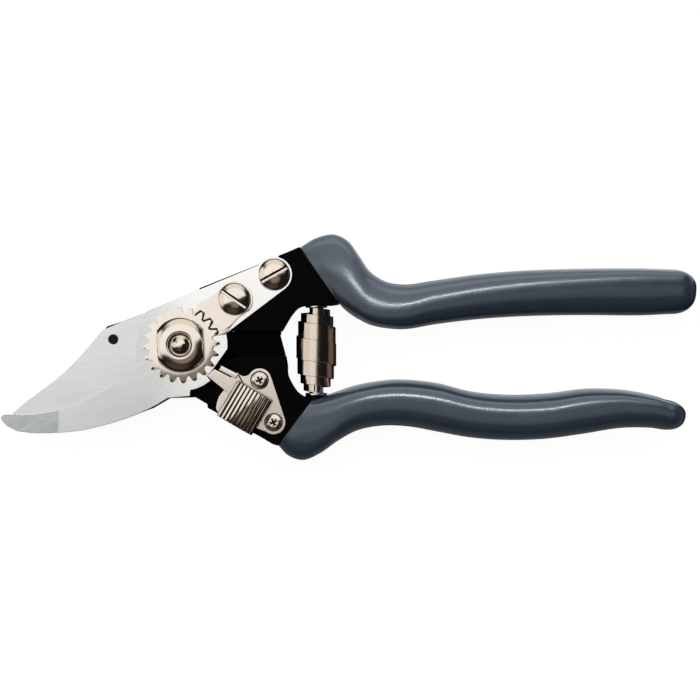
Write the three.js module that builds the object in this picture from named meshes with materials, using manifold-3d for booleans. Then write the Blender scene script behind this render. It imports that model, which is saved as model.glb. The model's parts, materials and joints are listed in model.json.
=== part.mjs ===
// Bypass pruning shears, closed and latched, lying on their back.
//
// Frame: millimetres, +Z up. The pivot axis is the Z axis, and z = 0 is the plane that the
// shears rest on, the rear face of the pivot bolt. The blades point to -X, the handles to +X.
import * as THREE from 'three';
import { mergeVertices } from 'three/addons/utils/BufferGeometryUtils.js';
import Module from 'manifold-3d';

const wasm = await Module();
wasm.setup();

// ---------------------------------------------------------------- driving dimensions

// Levels of the stack on the pivot, from the resting plane up
const CORE_REAR = 3.1;
const REAR_HEAD_TOP = 8.4;
const CUTTING = { bottom: 8.5, top: 11.0 };
const COUNTER = { bottom: 11.1, top: 14.3 };
const TOOTHED = { bottom: 14.35, top: 16.0 };
const UPPER_CORE_TOP = 14.7;
const LOWER_CORE_TOP = 13.3;
const TANG_FLOOR = 11.05;
const GRIP_MIDDLE = 9.2;

// Clearances between neighbouring pieces
const GAP = 0.3;
const SEAT_GAP = 0.05;

// Pivot
const BOLT = { headRadius: 8, headTop: 3.0, shank: 4.0, thread: 3.2, nutSeat: 16.05, tip: 20.3 };
const BUSH = { bore: 4.2, outer: 5.3, bottom: 3.15, top: 10.9 };
const HUB_RADIUS = 13.4;
const HUB_RELIEF = 11.6;
const HUB_CLEARANCE = 15.4;

// Toothed washer, the segment that locks it, and the nut
const WASHER = { teeth: 20, tip: 11.5, root: 9.6, bore: 4.3, phase: 3, rootHalf: 6.6, tipHalf: 1.8 };
const NUT = { radius: 8.3, flats: 13.7, rim: 17.0, top: 19.4, recess: 4.0, bore: 3.5, turn: 2.5 };
const SEGMENT = {
  from: 13.7, to: 67.5, arc: 13.4, end: 5.4, wrap: 78, neck: 18.8, flank: 15, lip: 2, gap: 0.45,
};

// Slotted screws that hold the counter-blade's tang
const SEGMENT_SCREW = { x: 16.0, y: 13.7, head: 4.9, seat: 16.05, dome: 2.5, slot: -35 };
const TANG_SCREW = { x: 27.8, y: 21.1, head: 4.8, seat: 14.35, dome: 2.5, slot: 29 };
const SLOTTED = { shank: 2.3, hole: 2.6, tip: 5.2, rim: 0.7, slotWidth: 1.1, slotDepth: 1.1 };
const TANG_END = 5.4;

// Counter-blade disc and the notch in its rim
const DISC = 13.8;
const NOTCH = { radius: 11.9, from: -33.7, to: -50.8 };

// Rivet that ties the cutting blade to the lower handle
const RIVET = { x: -21.0, y: 1.7, radius: 1.3, hole: 1.52, head: 2.6, headBottom: 2.3 };

// Handles
const GRIP_WALL = 2.0;
const CORE_BAR_WALL = 2.35;
const CAVITY_END = -2;
const BAR_END = -3;
const FRONT_STEP_RADIUS = 16.5;
const REAR_LOBE = 4.2;

// Rubber buffer between the heads
const BUFFER = { inner: 14.1, lowerSide: -3.14, upperSide: 4.13, bottom: 4.5, top: 12.2 };

// Volute spring and its studs, on an axis along Y
const SPRING = { x: 40.3, top: 11.2, bottom: -14.3, bore: 2.5 };
const SPRING_STEPS = [
  [-12.6, 3.5], [-10.4, 4.0], [-8.4, 4.6], [-3.9, 5.8], [0.6, 6.1], [5.6, 5.6], [7.6, 4.7], [9.4, 4.0],
];
const SPRING_END = 3.4;
const STUD = { flange: 3.3, peg: 2.1, root: 1.5, hole: 1.75, upperSeat: 11.95, lowerSeat: -15.15 };
const STUD_LENGTH = { flange: 0.65, peg: 4.5, root: 3.6, hole: 4.0 };
const SEAT_BOSS = { radius: 3.4, bottom: -22, reliefBottom: -24, reliefTop: -10 };

// Catch: it slides along CATCH_ANGLE, away from the pivot, to release
const CATCH_ANGLE = -30.6;
const CATCH_PLATE = { bottom: 13.35, top: 14.55, lobe: 3.6 };
const CATCH_SCREWS = [{ x: 23.4, y: -10.6 }, { x: 27.6, y: -23.2 }];
const CROSS_SCREW = {
  head: 2.5, shank: 1.3, hole: 1.6, tip: 7.5, top: 15.1, recess: 0.7, arm: 0.6, span: 2.6, turn: 25,
};
const GUIDE = { length: 5.6, width: 1.5, top: 16.1, x: 14.2, y: -8.1, angle: -27.2 };
const TONGUE = { bottom: 14.7, top: 16.2, hole: 1.3 };
const BUTTON = {
  x: 19.1, y: -18.7, length: 12, width: 12, bottom: 16.25, top: 20.2, ribs: 10, crown: 1.2, groove: 0.55,
};
const CATCH_RIVET = { radius: 1.0, bottom: 14.75, top: 18.4, x: 18.2, y: -16.2 };
const LEAF = { x: 21.0, y: -17.4, length: 9.4, width: 2.6, thickness: 0.45, rise: 1.1, bottom: 11.6 };

const FINE = 36;
const MEDIUM = 20;

// ---------------------------------------------------------------- solids

const radians = THREE.MathUtils.degToRad;

function polar(radius, degrees) {
  return [radius * Math.cos(radians(degrees)), radius * Math.sin(radians(degrees))];
}

// Six times the volume that the faces enclose, negative where they point inwards
function signedVolume(position, triangles) {
  const corner = (vertex) => new THREE.Vector3().fromArray(position, vertex * 3);
  let sum = 0;
  for (let i = 0; i < triangles.length; i += 3) {
    const [a, b, c] = [corner(triangles[i]), corner(triangles[i + 1]), corner(triangles[i + 2])];
    sum += a.dot(b.cross(c));
  }
  return sum;
}

// A closed geometry as a solid that can be joined and cut, with its faces pointing out
function solid(geometry) {
  const bare = geometry.clone();
  for (const name of Object.keys(bare.attributes)) {
    if (name !== 'position') bare.deleteAttribute(name);
  }
  const merged = mergeVertices(bare, 1e-4);
  const index = merged.index.array;
  const triangles = [];
  for (let i = 0; i < index.length; i += 3) {
    const [a, b, c] = [index[i], index[i + 1], index[i + 2]];
    if (a !== b && b !== c && c !== a) triangles.push(a, b, c);
  }
  if (signedVolume(merged.attributes.position.array, triangles) < 0) triangles.reverse();
  return new wasm.Manifold(new wasm.Mesh({
    numProp: 3,
    vertProperties: new Float32Array(merged.attributes.position.array),
    triVerts: new Uint32Array(triangles),
  }));
}

function geometryOf(body) {
  const mesh = body.getMesh();
  const geometry = new THREE.BufferGeometry();
  geometry.setAttribute('position', new THREE.BufferAttribute(new Float32Array(mesh.vertProperties), 3));
  geometry.setIndex(new THREE.BufferAttribute(new Uint32Array(mesh.triVerts), 1));
  geometry.computeVertexNormals();
  return geometry;
}

// An outline in the XY plane raised between two levels
function plate(shape, bottom, top, curveSegments = 6) {
  const depth = top - bottom;
  const geometry = new THREE.ExtrudeGeometry(shape, { depth, bevelEnabled: false, curveSegments });
  geometry.translate(0, 0, bottom);
  return solid(geometry);
}

// A profile of [radius, height] points turned about a vertical axis through (x, y)
function turned(profile, x = 0, y = 0, segments = FINE) {
  const points = profile.map(([radius, height]) => new THREE.Vector2(radius, height));
  const geometry = new THREE.LatheGeometry(points, segments);
  geometry.rotateX(Math.PI / 2);
  geometry.translate(x, y, 0);
  return solid(geometry);
}

function rod(radius, bottom, top, x = 0, y = 0, segments = MEDIUM) {
  return turned([[0, bottom], [radius, bottom], [radius, top], [0, top]], x, y, segments);
}

// The same, about an axis along Y through SPRING.x at the grips' middle height
function turnedAlongY(profile, segments = MEDIUM) {
  const points = profile.map(([radius, along]) => new THREE.Vector2(radius, along));
  const geometry = new THREE.LatheGeometry(points, segments);
  geometry.translate(SPRING.x, 0, GRIP_MIDDLE);
  return solid(geometry);
}

// A box whose length lies at an angle in the XY plane
function bar(length, width, bottom, top, x, y, degrees) {
  const geometry = new THREE.BoxGeometry(length, width, top - bottom);
  geometry.rotateZ(radians(degrees));
  geometry.translate(x, y, (bottom + top) / 2);
  return solid(geometry);
}

function polygon(points) {
  return new THREE.Shape(points.map(([x, y]) => new THREE.Vector2(x, y)));
}

function vectors(points) {
  return points.map(([x, y]) => new THREE.Vector2(x, y));
}

// ---------------------------------------------------------------- grips and the bars in them

// Each station is the section's upper end, its lower end and its half thickness. The first is
// the mouth, next to the forged head, and the last is the rounded tip.
const UPPER_STATIONS = [
  [[35.6, 29.6], [47.4, 12.5], 7.2], [[40.2, 32.3], [48.3, 11.4], 8.0],
  [[45.6, 33.4], [49.8, 10.1], 8.6], [[49.9, 31.4], [51.6, 8.8], 9.0],
  [[53.1, 27.2], [53.9, 7.5], 9.2], [[56.5, 22.3], [56.7, 6.2], 9.2],
  [[61.0, 19.2], [60.8, 5.3], 9.2], [[67.0, 18.2], [67.0, 4.9], 9.2],
  [[76.0, 19.4], [76.4, 6.4], 9.2], [[88.5, 21.2], [88.8, 7.9], 9.2],
  [[102.0, 22.4], [102.0, 8.8], 9.2], [[120.0, 23.0], [120.0, 9.2], 9.2],
  [[138.0, 23.1], [138.0, 9.1], 9.2], [[147.6, 22.7], [147.0, 9.5], 8.8],
  [[152.3, 20.9], [151.6, 11.2], 7.0], [[154.6, 18.2], [154.1, 14.6], 3.0],
];
const LOWER_STATIONS = [
  [[39.6, -16.4], [29.1, -30.5], 7.0], [[43.2, -15.3], [31.8, -33.3], 7.8],
  [[47.0, -13.9], [36.4, -34.7], 8.5], [[50.8, -12.6], [41.6, -32.6], 9.0],
  [[54.6, -11.7], [47.0, -28.8], 9.2], [[58.8, -11.0], [52.8, -25.7], 9.2],
  [[64.0, -10.5], [60.0, -24.3], 9.2], [[70.0, -10.7], [68.0, -24.5], 9.2],
  [[77.5, -11.7], [77.0, -26.1], 9.2], [[87.5, -14.2], [86.5, -27.8], 9.2],
  [[98.5, -15.2], [97.0, -28.6], 9.2], [[110.0, -14.8], [109.0, -28.3], 9.2],
  [[122.0, -13.3], [120.5, -26.8], 9.2], [[133.0, -13.6], [132.0, -25.0], 9.2],
  [[142.0, -15.3], [141.0, -24.9], 8.9], [[148.3, -17.9], [146.8, -25.4], 7.4],
  [[151.2, -21.4], [150.5, -24.2], 3.0],
];

// Stations drawn in by a wall on every side
function inset(stations, wall) {
  return stations.map(([top, bottom, half]) => {
    const width = Math.hypot(top[0] - bottom[0], top[1] - bottom[1]);
    const share = wall / width;
    const mix = (from, to) => from + (to - from) * share;
    return [
      [mix(top[0], bottom[0]), mix(top[1], bottom[1])],
      [mix(bottom[0], top[0]), mix(bottom[1], top[1])],
      half - wall,
    ];
  });
}

// The first station moved back out of the mouth, square to it
function extended(stations, distance) {
  const [top, bottom, half] = stations[0];
  const width = Math.hypot(top[0] - bottom[0], top[1] - bottom[1]);
  const back = [(top[1] - bottom[1]) / width, (bottom[0] - top[0]) / width];
  const shift = ([x, y]) => [x - back[0] * distance, y - back[1] * distance];
  return [[shift(top), shift(bottom), half], ...stations];
}

// A closed skin over superellipse sections, smoothed between the stations
function loft(stations, between, around, squareness = 2.5) {
  const curve = (pick) => new THREE.CatmullRomCurve3(stations.map(pick), false, 'centripetal');
  const tops = curve(([top]) => new THREE.Vector3(top[0], top[1], 0));
  const bottoms = curve(([, bottom]) => new THREE.Vector3(bottom[0], bottom[1], 0));
  const halves = curve(([, , half], i) => new THREE.Vector3(i * 10, half, 0));
  const rings = (stations.length - 1) * between + 1;
  const round = (value) => Math.sign(value) * Math.abs(value) ** (2 / squareness);
  const positions = [];
  const faces = [];
  for (let ring = 0; ring < rings; ring += 1) {
    const t = ring / (rings - 1);
    const top = tops.getPoint(t);
    const bottom = bottoms.getPoint(t);
    const half = halves.getPoint(t).y;
    for (let i = 0; i < around; i += 1) {
      const angle = (2 * Math.PI * i) / around;
      const across = (1 + round(Math.cos(angle))) / 2;
      const point = bottom.clone().lerp(top, across);
      positions.push(point.x, point.y, GRIP_MIDDLE + half * round(Math.sin(angle)));
    }
  }
  for (let ring = 0; ring + 1 < rings; ring += 1) {
    for (let i = 0; i < around; i += 1) {
      const a = ring * around + i;
      const b = ring * around + ((i + 1) % around);
      faces.push(a, a + around, b, b, a + around, b + around);
    }
  }
  for (const [ring, outward] of [[0, false], [rings - 1, true]]) {
    const centre = positions.length / 3;
    const first = ring * around;
    const middle = [0, 1, 2].map((axis) => {
      let sum = 0;
      for (let i = 0; i < around; i += 1) sum += positions[(first + i) * 3 + axis];
      return sum / around;
    });
    positions.push(...middle);
    for (let i = 0; i < around; i += 1) {
      const pair = [first + i, first + ((i + 1) % around)];
      faces.push(...(outward ? [pair[0], centre, pair[1]] : [pair[1], centre, pair[0]]));
    }
  }
  const geometry = new THREE.BufferGeometry();
  geometry.setAttribute('position', new THREE.Float32BufferAttribute(positions, 3));
  geometry.setIndex(faces);
  return solid(geometry);
}

function grip(stations) {
  const cavity = extended(inset(stations.slice(0, CAVITY_END), GRIP_WALL), 2);
  return loft(stations, 2, 16).subtract(loft(cavity, 1, 12));
}

function coreBar(stations) {
  return loft(extended(inset(stations.slice(0, BAR_END), CORE_BAR_WALL), 2), 1, 12);
}

// The head's end face runs parallel to the mouth of its grip, one gap away
function mouthFace(stations) {
  return extended(stations, GAP)[0].slice(0, 2);
}

// ---------------------------------------------------------------- blades

function counterBladeShape() {
  const shape = new THREE.Shape();
  shape.moveTo(-53.6, -21.0);
  shape.splineThru(vectors([[-45.5, -21.0], [-36.5, -19.4], [-27.5, -15.9], [-16.2, -9.8]]));
  shape.splineThru(vectors([[-14.5, -7.2], [-13.9, -4.0], [-DISC, 0]]));
  shape.absarc(0, 0, DISC, Math.PI, radians(160), true);
  shape.lineTo(-10.4, 10.1);
  shape.lineTo(22.9, 23.9);
  shape.absarc(TANG_SCREW.x, TANG_SCREW.y, TANG_END, radians(115), radians(-52), true);
  shape.lineTo(...polar(DISC, 14.5));
  shape.absarc(0, 0, DISC, radians(14.5), radians(-5), true);
  shape.lineTo(...polar(NOTCH.radius, NOTCH.from));
  shape.absarc(0, 0, NOTCH.radius, radians(NOTCH.from), radians(NOTCH.to), true);
  shape.absarc(0, 0, DISC, radians(NOTCH.to), radians(-79), true);
  shape.lineTo(2.5, -15.3);
  shape.lineTo(-4.2, -15.9);
  shape.splineThru(vectors([
    [-9.5, -19.0], [-18.5, -22.7], [-30.5, -25.7], [-42.5, -26.5], [-49.5, -25.9],
  ]));
  shape.splineThru(vectors([[-53.0, -24.0], [-54.5, -21.9], [-53.6, -21.0]]));
  return shape;
}

function cuttingBladeShape() {
  const shape = new THREE.Shape();
  shape.moveTo(-51.5, -20.8);
  shape.splineThru(vectors([
    [-47.8, -17.6], [-43.0, -14.0], [-37.8, -10.1], [-33.0, -5.6], [-28.8, -1.0], [-24.2, 4.5],
  ]));
  shape.lineTo(-17.0, 7.7);
  shape.lineTo(-10.4, 10.1);
  shape.absarc(0, 0, HUB_RADIUS, radians(110), radians(12), true);
  shape.absarc(0, 0, HUB_RELIEF, 0, radians(-100), true);
  shape.splineThru(vectors([
    [-13.5, -14.4], [-24.0, -19.6], [-36.0, -22.7], [-45.0, -22.6], [-51.5, -20.8],
  ]));
  return shape;
}

function counterBlade() {
  let body = plate(counterBladeShape(), COUNTER.bottom, COUNTER.top);
  body = body.subtract(rod(BOLT.shank + GAP, 0, 20, 0, 0, FINE));
  for (const screw of [SEGMENT_SCREW, TANG_SCREW]) {
    body = body.subtract(rod(SLOTTED.hole, 0, 20, screw.x, screw.y));
  }
  return body;
}

function cuttingBlade() {
  return plate(cuttingBladeShape(), CUTTING.bottom, CUTTING.top)
    .subtract(rod(BUSH.outer + 0.1, 0, 20, 0, 0, FINE))
    .subtract(rod(RIVET.hole, 0, 20, RIVET.x, RIVET.y));
}

// ---------------------------------------------------------------- forged handles

function upperHandleCore() {
  const [mouthTop, mouthBottom] = mouthFace(UPPER_STATIONS);
  const shape = new THREE.Shape();
  shape.moveTo(...polar(HUB_CLEARANCE, 71.5));
  shape.lineTo(5.0, 17.2);
  shape.lineTo(22.8, 24.2);
  shape.lineTo(28.6, 26.6);
  shape.lineTo(32.1, 28.0);
  shape.lineTo(...mouthTop);
  shape.lineTo(...mouthBottom);
  shape.lineTo(44.8, 12.0);
  shape.lineTo(37.2, 12.0);
  shape.splineThru(vectors([[34.9, 11.3], [32.9, 9.2], [31.2, 6.5], [29.9, 4.2]]));
  shape.lineTo(...polar(HUB_CLEARANCE, 15.8));
  shape.absarc(0, 0, HUB_CLEARANCE, radians(15.8), radians(71.5), false);
  const tangPocket = new THREE.Shape();
  tangPocket.moveTo(0, 20);
  tangPocket.lineTo(23, 28);
  tangPocket.absarc(TANG_SCREW.x, TANG_SCREW.y, TANG_END + GAP, radians(115), radians(-52), true);
  tangPocket.lineTo(12, 1.6);
  tangPocket.lineTo(0, 0);
  const holeTop = STUD.upperSeat + STUD_LENGTH.hole;
  const studHole = turnedAlongY([[0, 5], [STUD.hole, 5], [STUD.hole, holeTop], [0, holeTop]]);
  let body = plate(shape, CORE_REAR, UPPER_CORE_TOP, 6)
    .add(coreBar(UPPER_STATIONS))
    .subtract(plate(tangPocket, TANG_FLOOR, 30, 8))
    .subtract(studHole);
  for (const screw of [SEGMENT_SCREW, TANG_SCREW]) {
    body = body.subtract(rod(SLOTTED.hole, SLOTTED.tip - 0.4, 20, screw.x, screw.y));
  }
  return body;
}

function lowerHandleCore() {
  const [mouthTop, mouthBottom] = mouthFace(LOWER_STATIONS);
  const rearHead = new THREE.Shape();
  rearHead.moveTo(20.0, -3.2);
  rearHead.lineTo(13.3, -3.2);
  rearHead.absarc(0, 0, HUB_RADIUS + 0.2, radians(-13.6), radians(125), false);
  rearHead.lineTo(-16.6, 7.85);
  rearHead.lineTo(-23.3, 5.7);
  rearHead.absarc(RIVET.x, RIVET.y, REAR_LOBE, radians(135), radians(250), false);
  rearHead.lineTo(-13.4, -11.5);
  rearHead.lineTo(-14.3, -21.0);
  rearHead.lineTo(-9.6, -19.25);
  rearHead.lineTo(-4.3, -16.15);
  rearHead.lineTo(3.6, -15.9);
  rearHead.lineTo(7.4, -18.1);
  rearHead.lineTo(12.0, -20.9);
  rearHead.lineTo(20.0, -14.0);
  const frontHead = new THREE.Shape();
  frontHead.moveTo(...polar(FRONT_STEP_RADIUS, -11.2));
  frontHead.lineTo(31.0, -3.2);
  frontHead.splineThru(vectors([[31.5, -6.2], [31.8, -9.6], [34.3, -14.0], [37.0, -16.0]]));
  frontHead.lineTo(...mouthTop);
  frontHead.lineTo(...mouthBottom);
  frontHead.lineTo(27.2, -29.8);
  frontHead.lineTo(24.4, -28.1);
  frontHead.lineTo(7.7, -18.9);
  frontHead.lineTo(...polar(FRONT_STEP_RADIUS, -64));
  frontHead.absarc(0, 0, FRONT_STEP_RADIUS, radians(-64), radians(-11.2), false);
  const bufferShelf = new THREE.Shape();
  bufferShelf.moveTo(12.0, -4.5);
  bufferShelf.lineTo(30.6, -4.5);
  bufferShelf.lineTo(29.0, 3.9);
  bufferShelf.lineTo(12.0, 3.9);
  const boss = [
    [0, SEAT_BOSS.bottom], [SEAT_BOSS.radius, SEAT_BOSS.bottom], [SEAT_BOSS.radius, STUD.lowerSeat],
    [0, STUD.lowerSeat],
  ];
  const holeBottom = STUD.lowerSeat - STUD_LENGTH.hole;
  const studHole = [[0, holeBottom], [STUD.hole, holeBottom], [STUD.hole, 0], [0, 0]];
  let body = plate(rearHead, CORE_REAR, REAR_HEAD_TOP, 8)
    .add(plate(frontHead, CORE_REAR, LOWER_CORE_TOP, 6))
    .add(plate(bufferShelf, CORE_REAR, BUFFER.bottom - SEAT_GAP))
    .add(coreBar(LOWER_STATIONS))
    .add(turnedAlongY(boss))
    .subtract(turnedAlongY(studHole))
    .subtract(rod(BUSH.outer + 0.1, 0, 20, 0, 0, FINE))
    .subtract(rod(RIVET.hole, 0, 20, RIVET.x, RIVET.y))
    .subtract(bar(LEAF.length + 0.8, LEAF.width + 0.8, 11.4, 20, LEAF.x, LEAF.y, CATCH_ANGLE));
  for (const screw of CATCH_SCREWS) {
    body = body.subtract(rod(CROSS_SCREW.hole, CROSS_SCREW.tip - 0.4, 20, screw.x, screw.y));
  }
  return body;
}

function lowerGrip() {
  const { reliefBottom, reliefTop } = SEAT_BOSS;
  const radius = SEAT_BOSS.radius + GAP;
  const relief = [[0, reliefBottom], [radius, reliefBottom], [radius, reliefTop], [0, reliefTop]];
  return grip(LOWER_STATIONS).subtract(turnedAlongY(relief));
}

// It fills the space between the two heads, from the pivot disc to the spring's opening
function rubberBuffer() {
  const shape = new THREE.Shape();
  shape.moveTo(...polar(BUFFER.inner, -12.8));
  shape.lineTo(30.9, BUFFER.lowerSide);
  shape.lineTo(29.3, 2.8);
  shape.lineTo(29.6, BUFFER.upperSide);
  shape.lineTo(15.6, BUFFER.upperSide);
  shape.absarc(0, 0, BUFFER.inner, radians(14.6), radians(-12.8), true);
  return plate(shape, BUFFER.bottom, BUFFER.top);
}

// ---------------------------------------------------------------- pivot, teeth and screws

function toothedWasherShape(clearance = 0) {
  const pitch = 360 / WASHER.teeth;
  const points = [];
  for (let tooth = 0; tooth < WASHER.teeth; tooth += 1) {
    const middle = WASHER.phase + tooth * pitch;
    const spread = (clearance / WASHER.tip) * (180 / Math.PI);
    const { root, tip, rootHalf, tipHalf } = WASHER;
    points.push(polar(root + clearance, middle - rootHalf - spread));
    points.push(polar(tip + clearance, middle - tipHalf - spread));
    points.push(polar(tip + clearance, middle + tipHalf + spread));
    points.push(polar(root + clearance, middle + rootHalf + spread));
  }
  return polygon(points);
}

function toothedWasher() {
  return plate(toothedWasherShape(), TOOTHED.bottom, TOOTHED.top)
    .subtract(rod(WASHER.bore, 0, 20, 0, 0, FINE));
}

function toothedSegment() {
  const { x, y } = SEGMENT_SCREW;
  const middle = (SEGMENT.from + SEGMENT.to) / 2;
  const flare = polar(SEGMENT.arc + 2.2, middle);
  const shape = new THREE.Shape();
  shape.moveTo(...polar(9.5, SEGMENT.from + SEGMENT.lip));
  shape.lineTo(...polar(SEGMENT.arc, SEGMENT.from));
  shape.quadraticCurveTo(...polar(16.2, middle - 18.6), ...polar(SEGMENT.neck, middle - SEGMENT.flank));
  const [endX, endY] = polar(SEGMENT.end, middle - SEGMENT.wrap);
  shape.lineTo(x + endX, y + endY);
  shape.absarc(x, y, SEGMENT.end, radians(middle - SEGMENT.wrap), radians(middle + SEGMENT.wrap), false);
  shape.lineTo(...polar(SEGMENT.neck, middle + SEGMENT.flank));
  shape.quadraticCurveTo(...polar(16.2, middle + 18.6), ...polar(SEGMENT.arc, SEGMENT.to));
  shape.lineTo(...polar(9.5, SEGMENT.to - SEGMENT.lip));
  return plate(shape, TOOTHED.bottom, TOOTHED.top, 8)
    .add(rod(1, TOOTHED.bottom, TOOTHED.top, ...flare))
    .subtract(plate(toothedWasherShape(SEGMENT.gap), 10, 20))
    .subtract(rod(WASHER.root + SEGMENT.gap, 10, 20, 0, 0, FINE))
    .subtract(rod(SLOTTED.hole, 0, 20, x, y));
}

function pivotBolt() {
  return turned([
    [0, 0], [BOLT.headRadius - 0.6, 0], [BOLT.headRadius, 0.6], [BOLT.headRadius, BOLT.headTop],
    [BOLT.shank, BOLT.headTop], [BOLT.shank, BOLT.nutSeat - GAP], [BOLT.thread, BOLT.nutSeat - GAP],
    [BOLT.thread, BOLT.tip - 0.9], [BOLT.thread * 0.75, BOLT.tip - 0.25], [0, BOLT.tip],
  ]);
}

function pivotNut() {
  const rise = NUT.top - NUT.rim;
  const run = NUT.radius - NUT.recess;
  const dome = [];
  for (let step = 0; step <= 6; step += 1) {
    const angle = (Math.PI / 2) * (step / 6);
    dome.push([NUT.recess + run * Math.cos(angle), NUT.rim + rise * Math.sin(angle)]);
  }
  const profile = [
    [NUT.bore, BOLT.nutSeat], [NUT.radius, BOLT.nutSeat], ...dome, [NUT.bore, NUT.top - 0.6],
    [NUT.bore, BOLT.nutSeat],
  ];
  return turned(profile).intersect(bar(NUT.flats, 30, 0, 30, 0, 0, NUT.turn));
}

function pivotBush() {
  return turned([
    [BUSH.bore, BUSH.bottom], [BUSH.outer, BUSH.bottom], [BUSH.outer, BUSH.top], [BUSH.bore, BUSH.top],
    [BUSH.bore, BUSH.bottom],
  ]);
}

function slottedScrew({ x, y, head, seat, dome, slot }) {
  const profile = [[0, SLOTTED.tip], [SLOTTED.shank, SLOTTED.tip], [SLOTTED.shank, seat], [head, seat]];
  for (let step = 0; step <= 5; step += 1) {
    const angle = (Math.PI / 2) * (step / 5);
    profile.push([head * Math.cos(angle), seat + SLOTTED.rim + (dome - SLOTTED.rim) * Math.sin(angle)]);
  }
  profile[profile.length - 1][0] = 0;
  return turned(profile, x, y, 28)
    .subtract(bar(head * 3, SLOTTED.slotWidth, seat + dome - SLOTTED.slotDepth, seat + 9, x, y, slot));
}

function crossScrew({ x, y }) {
  const { head, shank, tip, top, recess, arm, span, turn } = CROSS_SCREW;
  const seat = CATCH_PLATE.bottom + 0.25;
  const profile = [
    [0, tip], [shank, tip], [shank, seat], [head - 0.3, seat], [head, CATCH_PLATE.top - 0.1],
    [head * 0.9, top - 0.2], [head * 0.5, top], [0, top],
  ];
  return turned(profile, x, y, MEDIUM)
    .subtract(bar(span, arm, top - recess, top + 5, x, y, turn))
    .subtract(bar(arm, span, top - recess, top + 5, x, y, turn));
}

function bladeRivet() {
  const { x, y, radius, head, headBottom } = RIVET;
  return turned([
    [0, headBottom], [head, headBottom + 0.3], [head, CORE_REAR - SEAT_GAP], [radius, CORE_REAR - SEAT_GAP],
    [radius, CUTTING.top - 0.1], [0, CUTTING.top - 0.1],
  ], x, y, 24);
}

// ---------------------------------------------------------------- spring

function voluteSpring() {
  const profile = [[SPRING.bore, SPRING.bottom]];
  let radius = SPRING_END;
  profile.push([radius, SPRING.bottom]);
  for (const [along, next] of SPRING_STEPS) {
    profile.push([radius, along], [next, along]);
    radius = next;
  }
  profile.push([radius, 10.2], [SPRING_END, 10.2], [SPRING_END, SPRING.top], [SPRING.bore, SPRING.top]);
  profile.push([SPRING.bore, SPRING.bottom]);
  return turnedAlongY(profile);
}

// A flanged stud: its root is in the handle and its peg in the end coil
function springStud(seat, towards) {
  const along = (distance) => seat + towards * distance;
  const profile = [
    [0, along(-STUD_LENGTH.root)], [STUD.root, along(-STUD_LENGTH.root)], [STUD.root, seat],
    [STUD.flange, seat], [STUD.flange, along(STUD_LENGTH.flange)], [STUD.peg, along(STUD_LENGTH.flange)],
    [STUD.peg, along(STUD_LENGTH.peg)], [0, along(STUD_LENGTH.peg)],
  ];
  return turnedAlongY(towards > 0 ? profile : profile.reverse());
}

// ---------------------------------------------------------------- catch

function catchPlate() {
  const [upper, lower] = CATCH_SCREWS;
  const { lobe, bottom, top } = CATCH_PLATE;
  const edge = Math.atan2(lower.y - upper.y, lower.x - upper.x) + Math.PI / 2;
  const shape = new THREE.Shape();
  shape.moveTo(12.8, -13.4);
  shape.splineThru(vectors([[11.2, -15.6], [10.4, -19.0], [11.6, -21.0]]));
  shape.lineTo(25.4, -26.0);
  shape.absarc(lower.x, lower.y, lobe, radians(232), edge + 2 * Math.PI, false);
  shape.absarc(upper.x, upper.y, lobe, edge, radians(150), false);
  shape.splineThru(vectors([[19.2, -9.3], [18.0, -9.2], [16.6, -8.2]]));
  shape.lineTo(...polar(FRONT_STEP_RADIUS + 1.2, -29));
  const guide = bar(GUIDE.length, GUIDE.width, top - SEAT_GAP, GUIDE.top, GUIDE.x, GUIDE.y, GUIDE.angle);
  let body = plate(shape, bottom, top, 6).add(guide);
  for (const screw of CATCH_SCREWS) {
    body = body.subtract(rod(CROSS_SCREW.head + 0.25, bottom + 0.2, 20, screw.x, screw.y));
    body = body.subtract(rod(CROSS_SCREW.hole, 0, 20, screw.x, screw.y));
  }
  return body;
}

function catchTongue() {
  const shape = polygon([
    [7.7, -9.2], [10.0, -7.2], [17.4, -11.0], [24.2, -15.0], [20.6, -21.2], [13.0, -16.7], [14.0, -14.3],
  ]);
  return plate(shape, TONGUE.bottom, TONGUE.top)
    .subtract(rod(TONGUE.hole, 0, 30, CATCH_RIVET.x, CATCH_RIVET.y));
}

// The button's ribbed back, drawn along the slide and extruded across it
function catchButton() {
  const { x, y, length, width, bottom, top, ribs, crown, groove } = BUTTON;
  const pitch = length / ribs;
  const profile = [[-length / 2, bottom]];
  const height = (along) => top - crown * (along / (length / 2)) ** 2;
  for (let rib = 0; rib < ribs; rib += 1) {
    const start = -length / 2 + rib * pitch;
    for (const [share, depth] of [[0.08, groove], [0.25, 0], [0.75, 0], [0.92, groove]]) {
      const along = start + pitch * share;
      profile.push([along, height(along) - depth]);
    }
  }
  profile.push([length / 2, bottom]);
  const geometry = new THREE.ExtrudeGeometry(polygon(profile), { depth: width, bevelEnabled: false });
  geometry.translate(0, 0, -width / 2);
  geometry.rotateX(Math.PI / 2);
  geometry.rotateZ(radians(CATCH_ANGLE));
  geometry.translate(x, y, 0);
  return solid(geometry)
    .subtract(rod(TONGUE.hole, 0, CATCH_RIVET.top + 0.2, CATCH_RIVET.x, CATCH_RIVET.y));
}

function catchRivet() {
  const { radius, bottom, top, x, y } = CATCH_RIVET;
  return rod(radius, bottom, top, x, y);
}

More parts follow.
